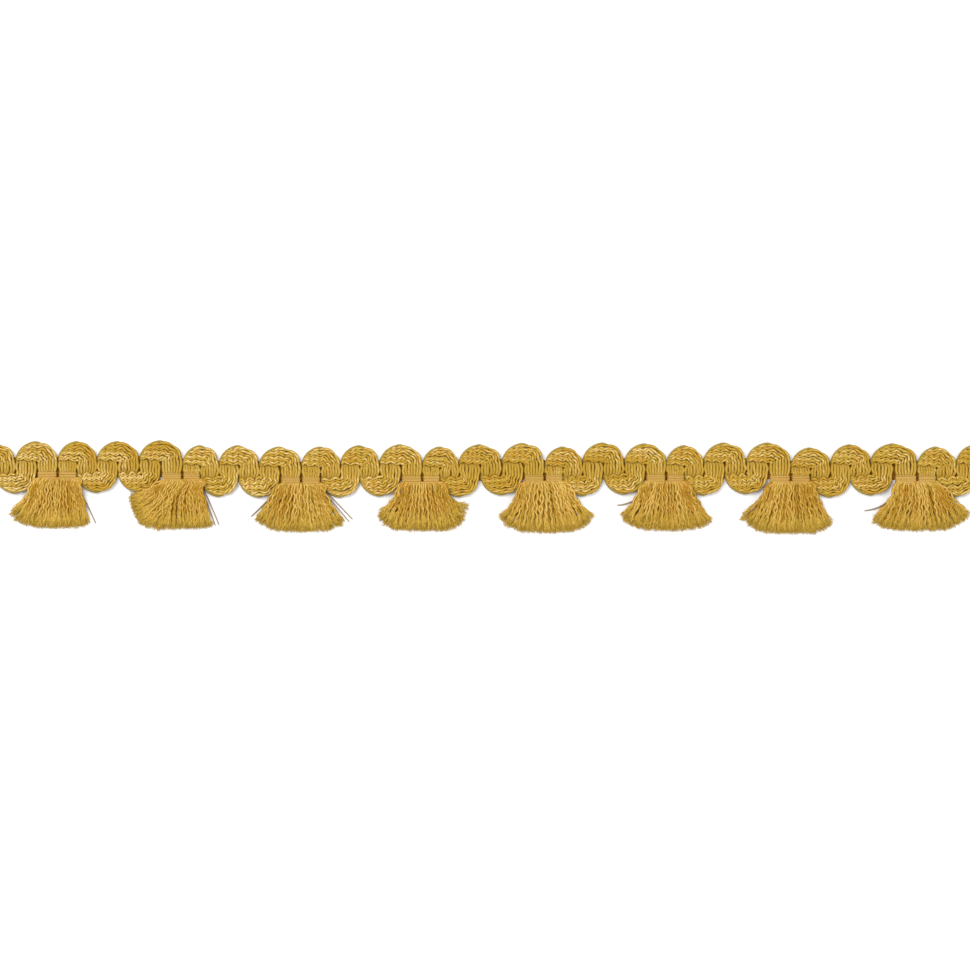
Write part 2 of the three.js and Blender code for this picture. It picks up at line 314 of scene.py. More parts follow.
@dataclass
class YarnMesh:
    """Many yarns joined into one mesh piece."""

    name: str
    sides: int = 6
    yarns: list[Yarn] = field(default_factory=list)

    def add(
        self,
        path: np.ndarray,
        wide: Union[float, np.ndarray],
        deep: Union[float, np.ndarray, None] = None,
        tint: float = 0.5,
        tip: Union[np.ndarray, None] = None,
        start: float = 0.0,
    ) -> None:
        """Add one yarn.

        Args:
            path: Points of its centreline, in millimetres of the plan.
            wide: Half width sideways, one number or one for each point.
            deep: Half width up and down, the same as wide where it isn't given.
            tint: The yarn's own shade, from about 0 for a dark one to about 1 for a light one.
            tip: How cut and frayed each point is, 0 to 1.
            start: Where along the yarn's twist it starts, in millimetres.
        """
        count = len(path)
        wide_row = np.broadcast_to(np.asarray(wide, float), (count,)).copy()
        deep_row = wide_row if deep is None else np.broadcast_to(np.asarray(deep, float), (count,)).copy()
        tip_row = np.zeros(count) if tip is None else tip
        self.yarns.append(Yarn(np.asarray(path, float), wide_row, deep_row, tint, tip_row, start))

    def build(self, material: Any, slot: Slot, stands_for: Sequence[str]) -> Any:
        """Make the mesh object and hide the CAD parts that it stands for.

        Args:
            material: The yarn's finish.
            slot: The record's material slot; not used.
            stands_for: The CAD nodes that it replaces.

        Returns:
            The Blender object.
        """
        points: list[np.ndarray] = []
        tints: list[np.ndarray] = []
        tips: list[np.ndarray] = []
        quads: list[np.ndarray] = []
        quad_uv: list[np.ndarray] = []
        caps: list[np.ndarray] = []
        cap_uv: list[np.ndarray] = []
        base = 0
        turn = np.arange(self.sides) * (TURN / self.sides)
        for yarn in self.yarns:
            count = len(yarn.path)
            tangent = np.gradient(yarn.path, axis=0)
            tangent /= np.linalg.norm(tangent, axis=1, keepdims=True) + 1e-12
            side = np.cross(UP, tangent)
            side /= np.linalg.norm(side, axis=1, keepdims=True) + 1e-9
            lift = np.cross(tangent, side)
            ring = (
                yarn.path[:, None, :]
                + side[:, None, :] * (np.cos(turn)[None, :] * yarn.wide[:, None])[..., None]
                + lift[:, None, :] * (np.sin(turn)[None, :] * yarn.deep[:, None])[..., None]
            )
            points += [ring.reshape(-1, 3), yarn.path[:1], yarn.path[-1:]]
            total = count * self.sides + 2
            tints.append(np.full(total, yarn.tint))
            tips.append(np.concatenate([np.repeat(yarn.tip, self.sides), yarn.tip[:1], yarn.tip[-1:]]))
            row = np.arange(count - 1)[:, None]
            here = np.arange(self.sides)[None, :]
            after = (here + 1) % self.sides
            corners = np.stack(
                np.broadcast_arrays(
                    row * self.sides + here,
                    row * self.sides + after,
                    (row + 1) * self.sides + after,
                    (row + 1) * self.sides + here,
                ),
                axis=-1,
            ).reshape(-1, 4)
            quads.append(corners + base)
            steps = np.linalg.norm(np.diff(yarn.path, axis=0), axis=1)
            length = (yarn.start + np.concatenate([[0], np.cumsum(steps)])) * UV_PER_MM
            shape = (count - 1, self.sides)
            u0, u1 = np.broadcast_to(length[:-1, None], shape), np.broadcast_to(length[1:, None], shape)
            v0, v1 = (np.broadcast_to((here + step) / self.sides, shape) for step in (0, 1))
            places = [np.stack(pair, -1) for pair in ((u0, v0), (u0, v1), (u1, v1), (u1, v0))]
            quad_uv.append(np.stack(places, 2).reshape(-1, 4, 2))
            first, last = base + count * self.sides, base + count * self.sides + 1
            ring_here = np.arange(self.sides)
            ring_after = (ring_here + 1) % self.sides
            end = base + (count - 1) * self.sides
            caps.append(np.stack([np.full(self.sides, first), base + ring_after, base + ring_here], 1))
            caps.append(np.stack([np.full(self.sides, last), end + ring_here, end + ring_after], 1))
            cap_uv += [np.broadcast_to([at, 0.5], (self.sides, 3, 2)) for at in (length[0], length[-1])]
            base += total
        vertices = (np.concatenate(points) + np.array([*PLAN_TO_FRAME, 0.0])) * MM
        quad = np.concatenate(quads)
        cap = np.concatenate(caps)
        mesh = bpy.data.meshes.new(self.name)
        mesh.vertices.add(len(vertices))
        mesh.vertices.foreach_set("co", vertices.astype(np.float32).ravel())
        loops = np.concatenate([quad.ravel(), cap.ravel()]).astype(np.int32)
        mesh.loops.add(len(loops))
        mesh.loops.foreach_set("vertex_index", loops)
        starts = np.concatenate([np.arange(len(quad)) * 4, len(quad) * 4 + np.arange(len(cap)) * 3])
        mesh.polygons.add(len(starts))
        mesh.polygons.foreach_set("loop_start", starts.astype(np.int32))
        mesh.polygons.foreach_set("use_smooth", np.ones(len(starts), dtype=bool))
        layer = mesh.uv_layers.new(name="yarn")
        uv = np.concatenate([np.concatenate(quad_uv).reshape(-1, 2), np.concatenate(cap_uv).reshape(-1, 2)])
        layer.data.foreach_set("uv", uv.astype(np.float32).ravel())
        for name, values in (("tint", tints), ("tip", tips)):
            attribute = mesh.attributes.new(name, "FLOAT", "POINT")
            attribute.data.foreach_set("value", np.concatenate(values).astype(np.float32))
        mesh.update(calc_edges=True)
        mesh.validate()
        mesh.materials.append(material)
        piece = bpy.data.objects.new(self.name, mesh)
        bpy.context.scene.collection.objects.link(piece)
        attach(piece, BODY)
        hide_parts(*stands_for)
        LOG.info("%s: %d yarns, %d triangles", self.name, len(self.yarns), 2 * len(quad) + len(cap))
        return piece


@dataclass(frozen=True)
class Repeat:
    """One repeat of the trim: its parting, how far on its two notches are, and its three crowns."""

    parting: float
    second: float
    third: float
    crown_a: float
    crown_b: float
    crown_c: float


@dataclass(frozen=True)
class Lobe:
    """One upper lobe of the heading and its two legs."""

    crown: float
    radius: float
    left_leg: float
    right_leg: float
    after_parting: bool
    before_parting: bool


REPEATS = (
    Repeat(-94.9, 8.7, 18.1, 6.6, 6.6, 6.8),
    Repeat(-67.2, 8.1, 17.0, 5.7, 5.7, 5.4),
    Repeat(-40.8, 8.7, 17.4, 5.4, 5.7, 5.9),
    Repeat(-13.9, 8.1, 17.7, 5.4, 5.9, 6.2),
    Repeat(13.3, 8.4, 17.7, 5.4, 6.3, 6.1),
    Repeat(40.3, 8.3, 17.8, 5.7, 6.3, 6.3),
    Repeat(68.0, 8.8, 17.7, 5.2, 5.9, 6.1),
    Repeat(96.1, 8.6, 17.8, 5.4, 5.9, 5.9),
)


@dataclass(frozen=True)
class HeadingLayout:
    """Where the plait of the heading runs."""

    width: float = 11.2
    loop_reach: float = 4.5
    column_drop: float = 8.65
    neck: float = 0.86
    first_notch: float = -113.6
    second_notch: float = -104.3
    lead_crowns: Pair = (6.3, 6.6)

    def lobes(self) -> list[Lobe]:
        """List the upper lobes from left to right.

        Returns:
            One lobe between each two notches.
        """
        notches = [
            (self.first_notch, self.lead_crowns[0], False),
            (self.second_notch, self.lead_crowns[1], False),
        ]
        for row in REPEATS:
            notches.append((row.parting, row.crown_a, True))
            notches.append((row.parting + row.second, row.crown_b, False))
            notches.append((row.parting + row.third, row.crown_c, False))
        made = []
        for (x, crown, parted), (next_x, _, next_parted) in zip(notches, notches[1:]):
            radius = (next_x - x) / 4
            made.append(Lobe(crown, radius, x + radius, x + 3 * radius, parted, next_parted))
        return made

    def column_end(self, before: Lobe, after: Lobe) -> float:
        """The height at which a tassel's two columns end."""
        return (before.crown + after.crown) / 2 - self.column_drop

    def runs(self) -> list["Run"]:
        """Follow the plait from tassel to tassel.

        Returns:
            One run for each length of plait between two partings.
        """
        lobes = self.lobes()
        made: list[Run] = []
        current: list[Loop] = []
        start = Column(0.0, 0.0, 0.0)
        for i, lobe in enumerate(lobes):
            after = lobes[i + 1] if i + 1 < len(lobes) else None
            if i == 0 or lobe.after_parting:
                end = self.column_end(lobes[i - 1] if i else lobe, lobe)
                start = Column(lobe.left_leg, lobe.radius, end)
            middle = (lobe.left_leg + lobe.right_leg) / 2
            centre = lobe.crown - self.loop_reach
            current.append(Loop(middle, centre, 2 * lobe.radius, self.loop_reach, Turn.OVER))
            if after is None or lobe.before_parting:
                finish = Column(lobe.right_leg, lobe.radius, self.column_end(lobe, after or lobe))
                made.append(Run(start, tuple(current), finish))
                current = []
                continue
            radius = (after.left_leg - lobe.right_leg) / 2
            foot = (lobe.crown + after.crown) / 2 - self.width
            middle = lobe.right_leg + radius
            current.append(Loop(middle, foot + self.loop_reach, 2 * radius, self.loop_reach, Turn.UNDER))
        return made


class Turn(Enum):
    """Which way a loop of the plait bulges: up at a crown or down at a lower lobe."""

    OVER = 1
    UNDER = -1


@dataclass(frozen=True)
class Loop:
    """One lobe that the plait folds round: its centre, its reach each way and which way it bulges."""

    x: float
    y: float
    reach_x: float
    reach_y: float
    turn: Turn


@dataclass(frozen=True)
class Column:
    """A bound column: where it stands, its half width above the binding and where it ends."""

    x: float
    half: float
    end: float


@dataclass(frozen=True)
class Run:
    """A length of plait from one tassel's column to the next one's."""

    start: Column
    loops: tuple[Loop, ...]
    finish: Column


@dataclass(frozen=True)
class Wave:
    """How the yarns zigzag on one loop: how far to each side, over what length and from where."""

    size: float
    pitch: float
    shift: float


@dataclass
class ScrollPlait:
    """The heading's flat plait: at each lobe its yarns fold back under themselves and cross on top.

    Lengths are in millimetres; high, leg and low are the yarns' heights on a lobe, in a leg and below.
    """

    layout: HeadingLayout
    material: Any
    # The edging's darker finish paints shade along the loops' rims.
    edge_shade_material: Any
    yarns: int = 7
    core: float = 0.03
    fill: float = 0.93
    eye: float = 0.2
    muted: float = 0.78
    half: float = 0.34
    depth: float = 0.36
    high: float = 1.3
    low: float = 0.42
    leg: float = 0.95
    slope: float = 0.09
    steepest: float = 0.985
    squareness: Pair = (2.3, 1.2)
    bends: tuple[float, ...] = (0.35, 0.7, 1.05, 1.35)
    eye_within: float = 0.35
    squeeze: float = 1.04
    touch: float = 0.05
    leg_top: float = 1.1
    dive_at: float = 0.3
    leave_at: float = 0.15
    under: Pair = (0.5, 0.45)
    fold: Pair = (0.42, 0.12)
    column_feet: Pair = (0.8, 0.85)
    sway: float = 0.008
    uneven: float = 0.055
    bob: float = 0.07
    dive: float = 0.12
    half_spread: Pair = (0.97, 1.07)
    tints: Pair = (0.2, 0.8)
    muted_below: float = 0.1
    zigzag: Pair = (0.26, 0.44)
    pitch: Pair = (1.9, 2.6)
    arc: float = 2.4
    calm_rim: Pair = (0.3, 0.4)
    past_centre: float = 0.2
    dip: float = 0.34
    dip_length: float = 0.42
    pinch: float = 0.38
    edge_half: float = 0.9
    edge_inset: float = 0.55
    # Set a little low, as part of the edging's painted shade.
    edge_shade_tint: float = 0.4
    edge_rise: float = 2.5
    edge_from: Pair = (0.8, 0.5)
    edge_to: Pair = (0.6, 0.3)
    edge_bends: tuple[Pair, ...] = (
        (-1.45, 0.6),
        (-1.2, 0.85),
        (-0.9, 0.95),
        (-0.6, 1.0),
        (-0.3, 0.95),
        (0.0, 0.8),
    )
    edge_returns: Pair = (0.5, 1.0)
    return_reach: float = 0.9
    step: float = 0.2
    seed: int = 11

    def build(self) -> list[Any]:
        """Build one piece for each run of plait.

        Returns:
            The Blender objects.
        """
        chance = np.random.default_rng(self.seed)
        edging = YarnMesh("gimp_edging")
        made = []
        for number, run in enumerate(self.layout.runs(), 1):
            mesh = YarnMesh(f"gimp_plait_{number}")
            waves = [
                Wave(chance.uniform(*self.zigzag), chance.uniform(*self.pitch), chance.uniform(0, 1))
                for _ in run.loops
            ]
            for index in range(self.yarns):
                self._add_yarn(mesh, run, index, waves, chance)
            self._add_edging(edging, run, chance)
            made.append(mesh.build(self.material, Slot.GIMP, ["gimp_heading"]))
        made.append(edging.build(self.edge_shade_material, Slot.GIMP, ["gimp_heading"]))
        return made

    def _column(self, column: Column, share: float) -> list[list[float]]:
        """List a yarn's places in a bound column.

        Args:
            column: The column.
            share: The yarn's place in the plait, 0 at its inner edge and 1 at its outer edge.

        Returns:
            The places, from the column's foot upwards.
        """
        side = (2 * share - 1) * column.half
        necked = column.x + side * self.layout.neck
        places = [[necked, column.end + i, z] for i, z in enumerate((*self.column_feet, self.leg))]
        return [*places, [column.x + side, column.end + len(places), self.leg]]

    def _loop(self, loop: Loop, share: float, chance: Any) -> list[list[float]]:
        """List a yarn's places round one loop.

        Args:
            loop: The loop.
            share: The yarn's place in the plait, 0 at the loop's centre and 1 at its rim.
            chance: The seeded source of small irregularities.

        Returns:
            The places, in the order that the yarn passes them.
        """
        way = loop.turn.value
        sway = chance.normal(0, self.sway)
        rise = min(share + self.slope * (1 - share), self.steepest) + sway
        rim = math.sqrt(max(0.0, 1 - min(rise, self.steepest) ** 2))
        rim_x = loop.x - (loop.reach_x - self.half) * rim
        rim_y = rise * (loop.reach_y - self.half)
        side = (share - 0.5) * loop.reach_x * self.squeeze
        leg_x = loop.x - loop.reach_x / 2 + side + chance.normal(0, self.uneven)
        next_x = loop.x + loop.reach_x / 2 + side + chance.normal(0, self.uneven)
        leg_z = self.leg + chance.normal(0, self.bob)
        reach_x, reach_y = loop.reach_x * share, loop.reach_y * (share + sway)
        power = 2 / (self.squareness[0] + self.squareness[1] * (1 - share))
        round_side = [
            [
                loop.x + reach_x * math.sin(angle) ** power,
                loop.y + way * reach_y * math.cos(angle) ** power,
                self.high,
            ]
            for angle in self.bends
        ]
        leg_eye = self.eye * max(0.0, (share - (1 - self.eye_within)) / self.eye_within)
        next_eye = self.eye * max(0.0, 1 - share / self.eye_within)
        dive_at = self.dive_at + chance.normal(0, self.dive)
        across, along = self.under
        inwards, short = self.fold
        return [
            [leg_x + (share - 0.5) * self.touch * loop.reach_x, loop.y - way * self.leg_top, leg_z],
            [leg_x - leg_eye, loop.y - way * dive_at, (self.leg * 2 + self.low) / 3],
            [leg_x + (rim_x - leg_x) * across, loop.y + way * rim_y * along, self.low],
            [rim_x, loop.y + way * (rim_y - short), (self.high + self.low) / 2],
            [rim_x + inwards, loop.y + way * rim_y, self.high],
            [loop.x, loop.y + way * reach_y, self.high],
            *round_side,
            [next_x + next_eye, loop.y - way * self.leave_at, self.leg + chance.normal(0, self.bob)],
        ]

    def _add_yarn(self, mesh: YarnMesh, run: Run, index: int, waves: Sequence[Wave], chance: Any) -> None:
        """Lay one yarn of the plait along a run.

        Args:
            mesh: The piece that it joins.
            run: The run of plait.
            index: Which yarn of the plait it is, counted from the rim of a loop.
            waves: How the yarns zigzag on each loop.
            chance: The seeded source of small irregularities.
        """
        share = self.core + self.fill * (1 - (2 * index + 1) / (2 * self.yarns))
        places = self._column(run.start, share)
        for loop in run.loops:
            places += self._loop(loop, share, chance)
        places += self._column(run.finish, share)[::-1]
        path = smooth_through(np.array(places), self.step)
        path, narrow = self._zigzagged(path, run, index, waves)
        wide = self.half * chance.uniform(*self.half_spread) * narrow
        # Yarns lying lower than the crowns' tops are blended toward the even cut colour, which damps their
        # painted highlight and painted shade.
        below = (self.high - self.muted_below - path[:, 2]) / (self.high - self.leg)
        muted = self.muted * np.clip(below, 0, 1)
        mesh.add(path, wide, self.depth, chance.uniform(*self.tints), muted, chance.uniform(0, TWIST))

    def _add_edging(self, mesh: YarnMesh, run: Run, chance: Any) -> None:
        """Lay the yarn that edges the loops where the others fold back; its darker finish paints shade
        along their rims.

        Args:
            mesh: The piece that it joins.
            run: The run of plait.
            chance: The seeded source of small irregularities.
        """
        first, last = run.start, run.finish
        places = [[first.x, first.end, self.low], [first.x, first.end + self.edge_rise, self.low]]
        bends = [(angle, 1.0, height) for angle, height in self.edge_bends]
        bends += [(angle, self.return_reach, self.low) for angle in self.edge_returns]
        inset = self.half * self.edge_inset
        for loop in run.loops:
            way = loop.turn.value
            rim_x, rim_y = loop.reach_x - inset, loop.reach_y - inset
            out, down = self.edge_from
            places.append([loop.x - rim_x * out, loop.y - way * down, self.low])
            for angle, reach, height in bends:
                x, y = rim_x * reach * math.sin(angle), rim_y * reach * math.cos(angle)
                places.append([loop.x + x, loop.y + way * y, height])
            out, down = self.edge_to
            places.append([loop.x + rim_x * out, loop.y - way * down, self.low])
        places += [[last.x, last.end + self.edge_rise, self.low], [last.x, last.end, self.low]]
        path = smooth_through(np.array(places), self.step)
        start = chance.uniform(0, TWIST)
        mesh.add(path, self.half * self.edge_half, self.depth, self.edge_shade_tint, None, start)

    def _zigzagged(
        self, path: np.ndarray, run: Run, index: int, waves: Sequence[Wave]
    ) -> tuple[np.ndarray, np.ndarray]:
        """Bend a yarn from side to side where it lies on top, and dip it at every other bend.

        Args:
            path: The yarn's centreline.
            run: The run of plait.
            index: Which yarn of the plait it is.
            waves: How the yarns zigzag on each loop.

        Returns:
            The bent centreline, and how much of its width the yarn keeps at each point.
        """
        heading = np.gradient(path[:, :2], axis=0)
        heading /= np.linalg.norm(heading, axis=1, keepdims=True) + 1e-9
        on_top = np.clip((path[:, 2] - self.leg) / (self.high - self.leg), 0, 1)
        narrow = np.ones(len(path))
        bent = path.copy()
        rim_row = min(1.0, self.calm_rim[0] + self.calm_rim[1] * index)
        for loop, wave in zip(run.loops, waves):
            x = path[:, 0] - loop.x
            y = (path[:, 1] - loop.y) * loop.turn.value
            weight = on_top * ((np.abs(x) < loop.reach_x) & (y > -self.past_centre))
            angle = np.arctan2(x, np.maximum(y, 0.01))
            along = np.where(x > 0, angle * self.arc, x) / wave.pitch + wave.shift
            swing = wave.size * rim_row * weight * (4 * np.abs(along - np.floor(along + 0.5)) - 1)
            bent[:, 0] -= swing * heading[:, 1]
            bent[:, 1] += swing * heading[:, 0]
            bend = (along + index % 2 * 0.5 + 0.5) % 1 - 0.5
            dip = np.exp(-((bend * wave.pitch / self.dip_length) ** 2)) * weight
            bent[:, 2] -= self.dip * dip
            narrow -= self.pinch * dip
        return bent, narrow


@dataclass
class BindingThreads:
    """The fine threads that hold the legs side by side and bind off each tassel's columns; the rows under
    the legs are coloured dark brown as painted shade in the slits.
    """

    layout: HeadingLayout
    material: Any
    # The rows' dark finish, painted shade in the slits.
    slit_shade_material: Any
    rows: int = 15
    first_drop: float = 3.45
    row_gap: float = 0.31
    row_heights: Pair = (0.24, 0.3)
    row_half: float = 0.18
    row_step: float = 0.4
    overhang: float = 1.9
    ripple: Pair = (0.04, 1.3)
    shift: float = 6.0
    thread: float = 0.125
    band_tint: float = 0.6
    band_share: float = 0.86
    band_middle: float = 0.86
    band_over: float = 0.74
    band_under: float = 0.68
    band_square: float = 0.45
    band_points: int = 22
    band_ripple: Pair = (0.03, 0.37)
    lead: float = 0.05
    turns: int = 10
    pitch: float = 0.195
    seed: int = 23

    def build(self) -> list[Any]:
        """Build the rows of thread and the bound bands.

        Returns:
            The Blender objects.
        """
        chance = np.random.default_rng(self.seed)
        inner = YarnMesh("slit_shade_threads", sides=4)
        mesh = YarnMesh("column_bindings", sides=5)
        lobes = self.layout.lobes()
        legs = np.array([(x, lobe.crown) for lobe in lobes for x in (lobe.left_leg, lobe.right_leg)])
        for row in range(self.rows):
            self._add_row(inner, legs, row, chance)
        for before, after in zip(lobes, lobes[1:]):
            if before.before_parting:
                end = self.layout.column_end(before, after)
                self._add_band(mesh, before.right_leg, end, before.radius, chance)
                self._add_band(mesh, after.left_leg, end, after.radius, chance)
        return [
            inner.build(self.slit_shade_material, Slot.GIMP, ["gimp_heading"]),
            mesh.build(self.material, Slot.GIMP, ["gimp_heading"]),
        ]

    def _add_row(self, mesh: YarnMesh, legs: np.ndarray, row: int, chance: Any) -> None:
        """Run one thread the whole length, under the yarns of the legs and across the slits, in a dark
        colour that paints the slits' shade.

        Args:
            mesh: The piece that it joins.
            legs: Where each leg stands and its crown's height.
            row: Which row it is, counted from the top.
            chance: The seeded source of small irregularities.
        """
        size, rate = self.ripple
        drop = round(self.first_drop + self.row_gap * row, 2)
        x = np.arange(legs[0, 0] - self.overhang, legs[-1, 0] + self.overhang, self.row_step)
        ripple = size * np.sin(x * rate + chance.uniform(0, self.shift))
        y = np.interp(x, legs[:, 0], legs[:, 1]) - drop + ripple
        z = np.full(len(x), self.row_heights[row % 2])
        # Darkest tint: this thread stands in for the shade deep in the slits.
        mesh.add(np.stack([x, y, z], 1), self.row_half, None, 0.0)

    def _add_band(self, mesh: YarnMesh, x: float, end: float, radius: float, chance: Any) -> None:
        """Wind the thread round one column.

        Args:
            mesh: The piece that it joins.
            x: Where the column stands.
            end: The height of its lower end.
            radius: The radius of the lobe above it.
            chance: The seeded source of small irregularities.
        """
        half = radius * self.band_share
        turn = np.arange(0, TURN * self.turns, TURN / self.band_points)
        cos, sin = np.cos(turn), np.sin(turn)
        along = end + self.lead + turn / TURN * self.pitch
        wide = half * np.sign(cos) * np.abs(cos) ** self.band_square
        reach = np.where(sin > 0, self.band_over, -self.band_under)
        z = self.band_middle + reach * np.abs(sin) ** self.band_square
        size, rate = self.band_ripple
        y = along + size * np.sin(turn * rate + chance.uniform(0, self.shift))
        mesh.add(np.stack([x + wide, y, z], 1), self.thread, None, self.band_tint)


def smooth_through(knots: np.ndarray, step: float) -> np.ndarray:
    """Draw a smooth line through a few places.

    Args:
        knots: The places, one row each.
        step: The distance between the line's points.

    Returns:
        The line's points.
    """
    padded = np.concatenate([knots[:1] * 2 - knots[1:2], knots, knots[-1:] * 2 - knots[-2:-1]])
    line = []
    for a, b, c, d in zip(padded, padded[1:], padded[2:], padded[3:]):
        count = max(2, round(float(np.linalg.norm(c - b)) / step))
        t = np.arange(count)[:, None] / count
        line.append(
            b + 0.5 * t * (c - a + t * (2 * a - 5 * b + 4 * c - d + t * (3 * (b - c) + d - a)))
        )
    return np.concatenate([*line, knots[-1:]])


@dataclass(frozen=True)
class Fan:
    """How one tassel's strands lie, in millimetres from its parting.

    left and right are how far its corners reach, left_tip, right_tip and foot the heights of its lower
    edge, sweep how far its middle leans, square how its strands crowd towards the parting, left_body
    and right_body how far it swells, and corner how square its lower corners are. strands counts
    those of one column, and wisps are the tips of strands that stand apart at the right.
    """

    left: float
    right: float
    left_tip: float
    right_tip: float
    foot: float
    sweep: float
    square: float
    left_body: float
    right_body: float
    corner: float = 4.0
    strands: int = 50
    wisps: tuple[Pair, ...] = ()


@dataclass(frozen=True)
class Stray:
    """A fine loose thread: its root from the parting, its tip, how it bows and how thick it is."""

    tassel: int
    root: float
    tip_x: float
    tip_y: float
    bow: Pair
    thick: float


WISPS = ((10.3, -7.4), (10.2, -8.3), (9.8, -9.3))

FANS = (
    Fan(11.2, 7.4, -9.0, -11.2, -12.3, -0.6, 0.95, 1.0, 0.84),
    Fan(12.1, 6.7, -5.7, -12.2, -12.7, -5.0, 0.58, 1.15, 0.7, 1.4, 60),
    Fan(10.9, 9.9, -10.2, -11.2, -13.2, 0.0, 0.95, 1.0, 0.86),
    Fan(10.5, 9.7, -9.4, -10.4, -13.0, 0.0, 0.95, 0.93, 0.9, 5.0, 50, WISPS),
    Fan(10.4, 11.3, -10.2, -10.0, -13.4, 0.5, 0.95, 0.97, 1.0),
    Fan(10.5, 10.5, -9.9, -11.1, -12.9, 0.0, 0.95, 1.0, 0.93),
    Fan(11.5, 9.7, -9.9, -11.5, -13.6, -0.4, 0.95, 1.0, 0.86),
    Fan(10.5, 12.0, -10.6, -9.6, -13.0, 0.4, 0.95, 0.93, 1.12),
)

STRAYS = (
    Stray(1, 3.6, 8.3, -11.5, (0.3, -0.2), 0.14),
    Stray(2, 3.7, 8.0, -11.8, (0.3, -0.2), 0.14),
    Stray(2, 3.5, 7.2, -12.0, (0.2, -0.2), 0.12),
    Stray(3, -3.8, -11.2, -10.0, (-0.3, -0.2), 0.14),
    Stray(3, 3.8, 11.3, -10.6, (0.3, -0.2), 0.14),
    Stray(3, 3.6, 10.6, -11.2, (0.2, -0.2), 0.12),
    Stray(6, -3.7, -10.9, -7.5, (1.4, -2.2), 0.15),
    Stray(8, -3.8, -11.7, -8.7, (1.7, -2.6), 0.16),
)


@dataclass
class LooseThreads:
    """The fine greyish threads that have worked loose beside some tassels."""

    material: Any
    points: int = 26

    def build(self, tops: Sequence[float]) -> Any:
        """Lay every loose thread.

        Args:
            tops: The height of each tassel's roots.

        Returns:
            The Blender object.
        """
        mesh = YarnMesh("loose_threads", sides=5)
        for stray in STRAYS:
            parting = REPEATS[stray.tassel - 1].parting
            start = np.array([parting + stray.root, tops[stray.tassel - 1] + 0.4, 0.6])
            end = np.array([parting + stray.tip_x, stray.tip_y, 0.2])
            t = np.linspace(0, 1, self.points)[:, None]
            bend = (start + end) / 2 + np.array([*stray.bow, 0.1])
            mesh.add((1 - t) ** 2 * start + 2 * t * (1 - t) * bend + t**2 * end, stray.thick)
        names = sorted({f"tassel_{stray.tassel}" for stray in STRAYS})
        return mesh.build(self.material, Slot.TASSEL, names)


